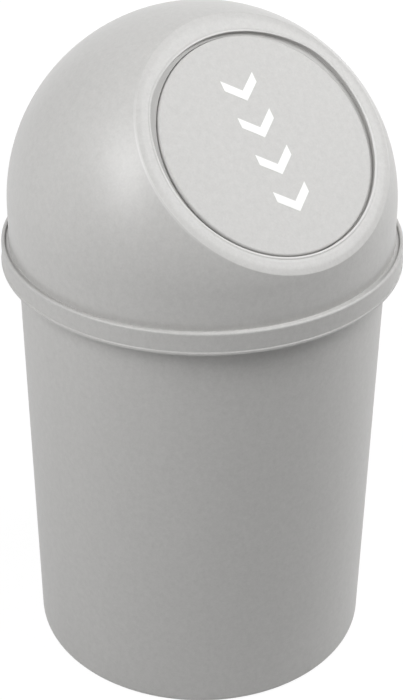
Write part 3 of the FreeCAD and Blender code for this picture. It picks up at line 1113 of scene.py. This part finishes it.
    def foot(self, wall_outer: float, wall_inner: float, wall_top: float) -> Array:
        """The section from the wall's outside round the brim, web and skirt to the wall's inside.

        Args:
            wall_outer: The wall's outer radius.
            wall_inner: Its inner radius.
            wall_top: Where the inside ends.

        Returns:
            Rows of radius and level.
        """
        ledge, small = self.tub.ledge_top, self.small_round
        brim = self.tub.rim_radius - self.tub.band_wall - self.brim_gap
        web_bottom = ledge + self.web_rise
        web_top = web_bottom + self.wall
        skirt_outer = self.tub.top_radius - self.tub.wall - self.skirt_gap
        skirt_inner = skirt_outer - self.skirt_wall
        skirt_bottom = ledge - self.skirt_depth
        return rounded([
            (wall_outer, self.brim_top, 0.0),
            (brim, self.brim_top, 0.5 * small),
            (brim, ledge, small),
            (wall_inner, ledge, small),
            (wall_inner, web_bottom, small),
            (skirt_outer, web_bottom, small),
            (skirt_outer, skirt_bottom, small),
            (skirt_inner, skirt_bottom, small),
            (skirt_inner, web_top, small),
            (wall_inner, web_top, small),
            (wall_inner, wall_top, 0.0),
        ])[1:]

    def shell(self) -> Shell:
        """The whole moulding but its shelf and lugs: one grid that closes on itself both ways.

        The dip beside the land is what the rounded edge falls short of the ball, and it fades over such a way
        that the dome leaves the edge without a crease.

        Returns:
            The closed shell.
        """
        angle = np.linspace(0.0, FULL_TURN, self.columns, endpoint=False)
        edge_radius, edge_height = self.land_turned_down()
        edge_end = math.atan2(edge_radius[-1, 0], edge_height[-1, 0])
        edge_reach = math.hypot(edge_radius[-1, 0], edge_height[-1, 0])
        dip = self.ball_radius - edge_reach
        steep = math.tan(edge_end - math.radians(self.land_turn))
        fade = dip * self.ball_radius / (edge_reach * steep)
        outer, sunk = self.ball(self.ball_radius, edge_end, angle, dip, fade)
        heading = outer[-1, :, :2] / np.linalg.norm(outer[-1, :, :2], axis=1, keepdims=True)

        inner_ball = self.ball_radius - self.wall
        wall_outer = math.sqrt(self.ball_radius ** 2 - self.tuck ** 2)
        wall_inner = math.sqrt(inner_ball ** 2 - self.tuck ** 2)
        wall_top = self.centre_height - self.tuck
        level = np.linspace(wall_top, self.brim_top, self.wall_rows + 1)[1:, None]
        wall = self.upright(wall_outer - sunk * np.exp((level - wall_top) / fade), level, heading)
        foot = self.foot(wall_outer, wall_inner, wall_top)

        land_back = self.land_height - self.wall
        inner_start = math.acos(land_back / inner_ball)
        inner, _ = self.ball(inner_ball, inner_start, angle, 0.0, fade)
        behind = rounded([
            (inner_ball * math.sin(inner_start), land_back, 0.0),
            (self.opening + self.wall, land_back, self.small_round),
            (self.opening + self.wall, self.seat_height, self.small_round),
            (self.opening, self.seat_height, 0.0),
        ])[:-1]
        return grid_shell(np.concatenate([
            self.face(angle),
            self.slope.ring(edge_radius, edge_height, angle),
            outer,
            wall,
            self.upright(foot[:, :1], foot[:, 1:], heading),
            inner[-2::-1],
            self.slope.ring(behind[:, :1], behind[:, 1:], angle),
        ]), True, True)

    def shelf(self) -> Shell:
        """The shelf behind the gap above the pin, rooted in the return wall.

        Returns:
            The closed shell.
        """
        wall_middle = self.opening + 0.5 * self.wall
        section = rounded([
            (self.shelf_inner, self.shelf_back, self.small_round),
            (self.opening + self.wall, self.shelf_back, self.small_round),
            (self.opening + self.wall, self.seat_height, 0.0),
            (wall_middle, self.seat_height + 0.5 * self.wall, 0.0),
            (self.opening + self.shelf_root, self.seat_height, 0.0),
            (self.shelf_inner, self.seat_height, self.small_round),
        ], closed=True)
        line = self.pin_up - self.shelf_below_pin
        return cut_ring(self.slope, section, line, above=True, columns=self.columns // 4)

    def lug(self, side: Side) -> list[Shell]:
        """One lug: an arm with the pin's hole, and the post that hangs it from the land.

        Args:
            side: Which of the mirrored pair.

        Returns:
            The arm and the post.
        """
        reach = self.post_inner + self.post_depth - self.pin_up
        barrel = self.barrel_radius
        half_turn = np.linspace(0.5 * math.pi, 1.5 * math.pi, self.barrel_steps + 1)
        arm = np.concatenate([
            barrel * np.stack([np.cos(half_turn), np.sin(half_turn)], axis=1),
            np.array([(reach, -barrel), (reach, barrel)]),
        ])
        low, high = self.pin_out - barrel + self.post_rise, self.land_height - 0.5 * self.wall
        inner, outer = self.post_inner, self.post_inner + self.post_depth
        post = np.array([(inner, low), (outer, low), (outer, high), (inner, high)])
        near, far = side.value * self.lug_start, side.value * (self.lug_start + self.lug_width)
        inset, ease = side.value * self.post_inset, side.value * self.post_ease
        return [
            pierced(self.pin_axes, arm, self.lug_hole, near, far),
            slab(self.slope, post, near + inset, far - inset, ease),
        ]

    def build(self, finish: Finish) -> None:
        """Makes the moulding with its shelf and two lugs.

        Args:
            finish: The lid's plastic.
        """
        shells = [self.shell(), self.shelf(), *self.lug(Side.LEFT), *self.lug(Side.RIGHT)]
        put_piece("lid_shell", shells, finish, Body.LID, ["lid_dome"])


@dataclass
class Flap:
    """The round push flap with its stop flange, ribs, knuckles and printed chevrons, in millimetres."""

    lid: Lid
    drop: float = 1.5
    opening_gap: float = 3.3
    edge_round: float = 1.2
    edge_gap: float = 0.3
    flare: float = 0.2
    wall: float = 2.0
    back_round: float = 0.5
    small_round: float = 0.3
    flange_overlap: float = 3.5
    flange_thickness: float = 2.0
    flange_below_pin: float = 2.0
    root_depth: float = 0.5
    root_inset: float = 0.2
    root_flare: tuple[float, float] = (0.95, 0.6)
    knuckle_start: float = 17.0
    knuckle_width: float = 4.0
    knuckle_hole: float = 2.05
    knuckle_steps: int = 24
    rib_height: float = 5.0
    rib_thickness: float = 2.0
    rib_ease: float = 0.25
    chevron_width: float = 20.0
    chevron_depth: float = 8.0
    chevron_stroke: float = 4.4
    chevron_lift: float = 0.12
    chevron_sunk: float = 0.3
    chevron_step: float = 20.5
    chevron_count: int = 4
    columns: int = 224

    @property
    def radius(self) -> float:
        """The flap's radius, less than the opening's by the gap."""
        return self.lid.opening - self.opening_gap

    @property
    def axes(self) -> Axes:
        """The slope's axes, moved down to the flap's own middle."""
        return self.lid.slope.moved(up=-self.drop)

    def panel(self) -> Shell:
        """The face, its rounded edge and the panel's back, turned about the flap's middle.

        Returns:
            The closed shell.
        """
        face, edge = self.lid.land_height, self.lid.seat_height + self.edge_gap
        inner = self.radius - self.wall
        return turned(self.axes, rounded([
            (0.0, face, 0.0),
            (self.radius, face, self.edge_round),
            (self.radius + self.flare, edge, self.small_round),
            (inner, edge, self.small_round),
            (inner, face - self.wall, self.back_round),
            (0.0, face - self.wall, 0.0),
        ]), self.columns)

    def flange(self) -> Shell:
        """The stop flange, rooted in the panel's edge, which ends at a line across the flap below the pin.

        Returns:
            The closed shell.
        """
        seat = self.lid.seat_height
        back = seat - self.flange_thickness
        inner = self.radius - self.wall
        root = seat + self.edge_gap + self.root_depth
        seat_flare, root_flare = (share * self.flare for share in self.root_flare)
        outer = self.lid.opening + self.flange_overlap
        section = rounded([
            (inner, back, self.small_round),
            (outer, back, self.small_round),
            (outer, seat, self.small_round),
            (self.radius + seat_flare, seat, 0.0),
            (self.radius + root_flare, root, 0.0),
            (inner + self.root_inset, root, 0.0),
        ], closed=True)
        line = self.lid.pin_up - self.flange_below_pin + self.drop
        return cut_ring(self.axes, section, line, above=False, columns=self.columns)

    def knuckle(self, side: Side) -> Shell:
        """A barrel round the pin with a stem up into the panel.

        Args:
            side: Which of the mirrored pair.

        Returns:
            The closed shell with its bore.
        """
        barrel = self.lid.barrel_radius
        top = self.lid.land_height - 0.5 * self.wall - self.lid.pin_out
        turn = np.linspace(math.pi, 2.5 * math.pi, self.knuckle_steps + 1)
        outline = np.concatenate([
            barrel * np.stack([np.cos(turn), np.sin(turn)], axis=1),
            np.array([(0.0, top), (-barrel, top)]),
        ])
        near = side.value * self.knuckle_start
        far = side.value * (self.knuckle_start + self.knuckle_width)
        return pierced(self.lid.pin_axes, outline, self.knuckle_hole, near, far)

    def rib(self, side: Side) -> Shell:
        """A rib on the back, from the knuckle down into the edge.

        Args:
            side: Which of the mirrored pair.

        Returns:
            The closed shell.
        """
        middle = self.knuckle_start + 0.5 * self.knuckle_width
        edge = self.radius - 0.5 * self.wall
        low = -self.drop - math.sqrt(edge ** 2 - middle ** 2)
        high = self.lid.pin_up - 0.5 * self.lid.barrel_radius
        back = self.lid.land_height - self.wall - self.rib_height
        front = self.lid.land_height - 0.5 * self.wall
        outline = np.array([(low, back), (high, back), (high, front), (low, front)])
        half = 0.5 * self.rib_thickness * side.value
        place = middle * side.value
        return slab(self.lid.slope, outline, place - half, place + half, self.rib_ease * side.value)

    def chevron(self, up: float) -> Shell:
        """A flat section carried along a V that points down the slope.

        The V's three stations are its tips and its point; a station's section lies along the corner's mitre,
        which is vertical at all three, so the stroke keeps its width along both arms.

        Args:
            up: How far up the slope the V's middle lies.

        Returns:
            The closed shell.
        """
        half = 0.5 * self.chevron_width
        arm = math.hypot(half, self.chevron_depth)
        tall = 0.5 * self.chevron_stroke * arm / half
        station_side = np.array([-half, 0.0, half])[:, None]
        station_up = up + np.array([0.5, -0.5, 0.5])[:, None] * self.chevron_depth
        low, high = self.lid.land_height - self.chevron_sunk, self.lid.land_height + self.chevron_lift
        section = np.array([(-tall, low), (tall, low), (tall, high), (-tall, high)])
        return carried(self.axes.place(station_side, station_up + section[:, 0], section[:, 1]))

    def build(self, finish: Finish, print_finish: Finish) -> None:
        """Makes the moulding and the printed chevrons.

        Args:
            finish: The flap's plastic.
            print_finish: The chevrons' ink.
        """
        shells = [self.panel(), self.flange()]
        for side in Side:
            shells += [self.knuckle(side), self.rib(side)]
        put_piece("flap_panel", shells, finish, Body.FLAP, ["flap"])
        places = (np.arange(self.chevron_count) - 0.5 * (self.chevron_count - 1)) * self.chevron_step
        marks = [self.chevron(float(up)) for up in places]
        put_piece("flap_chevrons", marks, print_finish, Body.FLAP)


@dataclass
class Hinge:
    """The steel pin, its two caps and the two torsion springs, in millimetres."""

    lid: Lid
    flap: Flap
    pin_radius: float = 2.0
    pin_end: float = 27.7
    pin_chamfer: float = 0.4
    cap_start: float = 25.5
    cap_end: float = 29.1
    cap_bore: float = 2.02
    cap_radius: float = 3.42
    cap_gap: float = 0.01
    cap_mouth_round: float = 0.2
    cap_edge_round: float = 0.25
    cap_end_round: float = 1.1
    wire_radius: float = 0.5
    coil_radius: float = 3.1
    coil_pitch: float = 1.5
    coil_place: float = 6.5
    coil_turns: int = 5
    coil_steps: int = 30
    wire_columns: int = 12
    leg_length: float = 30.0
    leg_gap: float = 0.05
    columns: int = 48

    @property
    def axes(self) -> Axes:
        """The pin's axes: out along X, so that profiles turn about the pin."""
        pin = self.lid.pin_axes
        return Axes(pin.origin, pin.up, pin.out, pin.side)

    def pin(self) -> Shell:
        """A rod with chamfered ends.

        Returns:
            The closed shell.
        """
        neck = self.pin_radius - self.pin_chamfer
        shoulder = self.pin_end - self.pin_chamfer
        section = np.array([
            (0.0, -self.pin_end), (neck, -self.pin_end), (self.pin_radius, -shoulder),
            (self.pin_radius, shoulder), (neck, self.pin_end), (0.0, self.pin_end),
        ])
        return turned(self.axes, section, self.columns)

    def cap(self, side: Side) -> Shell:
        """A push-on cap: a thimble with a bore and a rounded end.

        Args:
            side: Which of the mirrored pair.

        Returns:
            The closed shell.
        """
        floor = self.pin_end + self.cap_gap
        section = rounded([
            (0.0, floor, 0.0),
            (self.cap_bore, floor, 0.0),
            (self.cap_bore, self.cap_start, self.cap_mouth_round),
            (self.cap_radius, self.cap_start, self.cap_edge_round),
            (self.cap_radius, self.cap_end, self.cap_end_round),
            (0.0, self.cap_end, 0.0),
        ])
        return turned(self.axes, section * np.array([1.0, side.value]), self.columns)

    def spring(self, side: Side) -> tuple[Shell, tuple[float, float]]:
        """A wire carried along a straight leg, a coil round the pin and a second straight leg.

        The coil is a helix: coil radius times cos(a) up and sin(a) out, with the pitch along the pin for each
        turn. Each leg leaves the coil along its tangent and ends at its seat, which fixes the coil's two end
        angles: the seat's own angle plus or less the one whose cosine is coil radius over the seat's
        distance.

        Args:
            side: Which of the mirrored pair.

        Returns:
            The wire's shell, and where the coil starts and ends along the pin.
        """
        lid, gap = self.lid, self.wire_radius + self.leg_gap
        lid_up = math.sqrt(lid.opening ** 2 - self.coil_place ** 2) - lid.pin_up
        lid_out = lid.shelf_back - gap - lid.pin_out
        flap_up = -self.leg_length
        flap_out = lid.land_height - self.flap.wall - gap - lid.pin_out
        lid_reach, flap_reach = math.hypot(lid_up, lid_out), math.hypot(flap_up, flap_out)
        first = math.atan2(lid_out, lid_up) + math.acos(self.coil_radius / lid_reach)
        last = math.atan2(flap_out, flap_up) - math.acos(self.coil_radius / flap_reach)
        last += FULL_TURN * self.coil_turns
        angle = np.linspace(first, last, self.coil_steps * self.coil_turns)
        rise = self.coil_pitch / FULL_TURN
        place = self.coil_place + rise * (angle - first)
        up, out = self.coil_radius * np.cos(angle), self.coil_radius * np.sin(angle)
        coil = np.stack([place, up, out], axis=1)
        heading = np.stack([np.full_like(angle, rise), -out, up], axis=1) / self.coil_radius
        lid_leg = math.sqrt(lid_reach ** 2 - self.coil_radius ** 2)
        flap_leg = math.sqrt(flap_reach ** 2 - self.coil_radius ** 2)
        path = np.vstack([coil[:1] - heading[:1] * lid_leg, coil, coil[-1:] + heading[-1:] * flap_leg])
        along = np.vstack([heading[:1], heading, heading[-1:]])
        wire = circles(path, along, self.wire_radius, self.wire_columns)
        shell = carried(lid.pin_axes.place(wire[..., 0] * side.value, wire[..., 1], wire[..., 2]))
        return shell, (float(coil[0, 0]) * side.value, float(coil[-1, 0]) * side.value)

    def build(self, pin_finish: Finish, cap_finish: Finish, spring_finish: Finish) -> None:
        """Makes the pin, the caps and the springs; the springs, which reach between the lid and the flap, are
        set on no body.

        Args:
            pin_finish: The pin's steel.
            cap_finish: The caps' plastic.
            spring_finish: The springs' steel.
        """
        put_piece("pin_rod", [self.pin()], pin_finish, Body.LID, ["hinge_pin"])
        for side in Side:
            word = side.name.lower()
            cap = [self.cap(side)]
            put_piece(f"cap_{word}", cap, cap_finish, Body.LID, [f"pin_cap_{word}"])
            shell, ends = self.spring(side)
            wire = put_piece(f"coil_{word}", [shell], spring_finish, None, [f"spring_{word}"])
            start, end = (self.lid.pin_axes.place(place, 0.0, 0.0) * MILLIMETRE for place in ends)
            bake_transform(wire)


# Studio


def direction(heading: float, climb: float) -> Vector:
    """The way from the object to a place at a heading, 0 in front and 90 at +X, and a climb, in degrees."""
    turn, rise = math.radians(heading), math.radians(climb)
    return Vector((math.sin(turn) * math.cos(rise), -math.cos(turn) * math.cos(rise), math.sin(rise)))


def put_facing(
    name: str, data: bpy.types.ID, aim: Vector, away: Vector, distance: float, roll: float = 0.0
) -> bpy.types.Object:
    """Sets a lamp or camera away from an aim, turned to face it.

    Args:
        name: The object's name.
        data: The lamp or camera.
        aim: What it faces.
        away: The way from the aim to it, at length one.
        distance: How far away it stands.
        roll: Its turn about its own sight line, in degrees.

    Returns:
        The object.
    """
    holder = bpy.data.objects.new(name, data)
    holder.location = aim + away * distance
    holder.rotation_mode = "QUATERNION"
    level = (-away).to_track_quat("-Z", "Y")
    holder.rotation_quaternion = level @ Quaternion((0.0, 0.0, 1.0), math.radians(roll))
    bpy.context.scene.collection.objects.link(holder)
    return holder


def seen_rays(graph: Graph) -> Wire:
    """Tells rays that are seen, straight, by reflection or through glass, from those that carry light.

    Args:
        graph: The floor's or the surroundings' graph.

    Returns:
        One for rays that are seen, and nothing for others.
    """
    outputs = graph.add("ShaderNodeLightPath").outputs
    camera, glossy, through = (
        Wire(graph, outputs[f"Is {kind} Ray"]) for kind in ("Camera", "Glossy", "Transmission")
    )
    return camera + glossy + through


@dataclass(frozen=True)
class Softbox:
    """A square lamp that faces the object, in metres and watts."""

    name: str
    heading: float
    climb: float
    distance: float
    width: float
    height: float
    power: float

    def build(self, aim: Vector) -> None:
        """Makes the lamp and turns it to the aim.

        Args:
            aim: What it faces.
        """
        lamp = bpy.data.lights.new(self.name, "AREA")
        lamp.shape = "RECTANGLE"
        lamp.size, lamp.size_y = self.width, self.height
        lamp.energy = self.power
        put_facing(self.name, lamp, aim, direction(self.heading, self.climb), self.distance)


@dataclass
class Studio:
    """The pale floor, the lamps, the white surroundings and the camera, in metres and degrees."""

    heading: float = -37.1
    climb: float = 31.63
    distance: float = 0.994
    aim_height: float = 0.1761
    roll: float = 0.42
    lens: float = 91.44
    sensor: float = 36.0
    clip: tuple[float, float] = (0.01, 50.0)
    floor_half: float = 6.0
    floor_lit: Point = (0.5, 0.5, 0.5)
    floor_seen: Point = (0.9, 0.9, 0.9)
    floor_glow: float = 1.05
    floor_cover: float = 0.9
    shadow_reach: float = 0.5
    world_level: float = 0.12
    lamps: tuple[Softbox, ...] = (
        Softbox("softbox_key", 42.0, 50.0, 1.2, 0.85, 0.76, 9.2),
        Softbox("softbox_right", 72.0, 15.0, 1.2, 0.6, 1.2, 2.8),
        Softbox("softbox_left", -127.0, 15.0, 1.2, 0.6, 1.2, 0.9),
        Softbox("softbox_upper_left", -89.0, 46.0, 1.2, 0.55, 0.5, 4.95),
        Softbox("softbox_lower_left", -82.0, 31.0, 1.2, 0.42, 0.6, 4.0),
        Softbox("softbox_back", 143.0, 14.0, 1.2, 1.7, 1.0, 1.8),
    )

    @property
    def aim(self) -> Vector:
        """What the camera and the lamps face."""
        return Vector((0.0, 0.0, self.aim_height))

    def floor(self) -> None:
        """A flat pale floor that takes the object's shadow and looks white to the camera elsewhere.

        What is seen of it is mostly a plain white glow, so the shadow stays faint. Past the shadow's reach it
        is wholly that glow.
        """
        half = self.floor_half
        mesh = bpy.data.meshes.new("floor")
        corners = [(-half, -half, 0.0), (half, -half, 0.0), (half, half, 0.0), (-half, half, 0.0)]
        mesh.from_pydata(corners, [], [(0, 1, 2, 3)])
        made, graph, place = shader_graph("pale_floor")
        seen = seen_rays(graph)
        tone = graph.tint(seen, self.floor_lit, self.floor_seen)
        matt = graph.wire("ShaderNodeBsdfDiffuse", 0, None, {"Color": tone})
        glow = graph.wire("ShaderNodeEmission", 0, None, {"Color": WHITE, "Strength": self.floor_glow})
        distance = graph.maths("SQRT", graph.along(place, place), 0.0)
        far = ((distance - self.shadow_reach) * (1.0 / self.shadow_reach)).rise()
        cover = seen * (self.floor_cover + (1.0 - self.floor_cover) * far)
        mixed = graph.wire("ShaderNodeMixShader", 0, None, {0: cover, 1: matt, 2: glow})
        graph.add("ShaderNodeOutputMaterial", None, {"Surface": mixed})
        mesh.materials.append(made)
        floor = bpy.data.objects.new("floor", mesh)
        bpy.context.scene.collection.objects.link(floor)

    def world(self) -> None:
        """Soft even light, and plain white where the camera or a reflection sees past the floor."""
        world = bpy.data.worlds.new("surroundings")
        world.use_nodes = True
        graph = Graph(world.node_tree)
        soft, plain = (
            graph.wire("ShaderNodeBackground", 0, None, {"Color": WHITE, "Strength": level})
            for level in (self.world_level, 1.0)
        )
        mixed = graph.wire("ShaderNodeMixShader", 0, None, {0: seen_rays(graph), 1: soft, 2: plain})
        graph.add("ShaderNodeOutputWorld", None, {"Surface": mixed})
        bpy.context.scene.world = world

    def camera(self) -> None:
        """The camera at the photograph's viewing angle, with its slight roll."""
        data = bpy.data.cameras.new("camera")
        data.lens = self.lens
        data.sensor_width = self.sensor
        data.clip_start, data.clip_end = self.clip
        away = direction(self.heading, self.climb)
        bpy.context.scene.camera = put_facing("camera", data, self.aim, away, self.distance, self.roll)

    def build(self) -> None:
        """Sets up the whole studio."""
        for lamp in self.lamps:
            lamp.build(self.aim)
        self.floor()
        self.world()
        self.camera()
        bpy.context.scene.view_settings.view_transform = "Standard"


def main() -> None:
    """Builds the bin's pieces in order, then the studio."""
    logging.basicConfig(level=logging.INFO, format="%(name)s: %(message)s")
    tub_finish = MouldedPlastic("tub_moulded", (0.52, 0.515, 0.505))
    tub = Tub()
    lid = Lid(tub)
    # Paler painted highlights on the lip and the land's edge, and darker painted shade in the gap.
    marks = lid.marks(painted_highlight=(0.63, 0.625, 0.615), painted_shade=(0.43, 0.425, 0.415))
    lid_finish = MouldedPlastic("lid_moulded", (0.53, 0.525, 0.515), roughness=0.38, marks=marks)
    flap_finish = MouldedPlastic("flap_moulded", (0.55, 0.545, 0.535), roughness=0.54, grain_strength=0.16)
    cap_finish = MouldedPlastic("cap_moulded", (0.50, 0.49, 0.48), roughness=0.40)
    pin_finish = DrawnSteel("pin_drawn", (0.60, 0.60, 0.61), (40.0, 2600.0, 2600.0))
    spring_finish = DrawnSteel("spring_drawn", (0.55, 0.55, 0.57), (1800.0, 900.0, 900.0), 0.26)

    tub.build(tub_finish)
    lid.build(lid_finish)
    flap = Flap(lid)
    flap.build(flap_finish, WhitePrint("chevron_print"))
    Hinge(lid, flap).build(pin_finish, cap_finish, spring_finish)
    Studio().build()


if __name__ == "__main__":
    main()
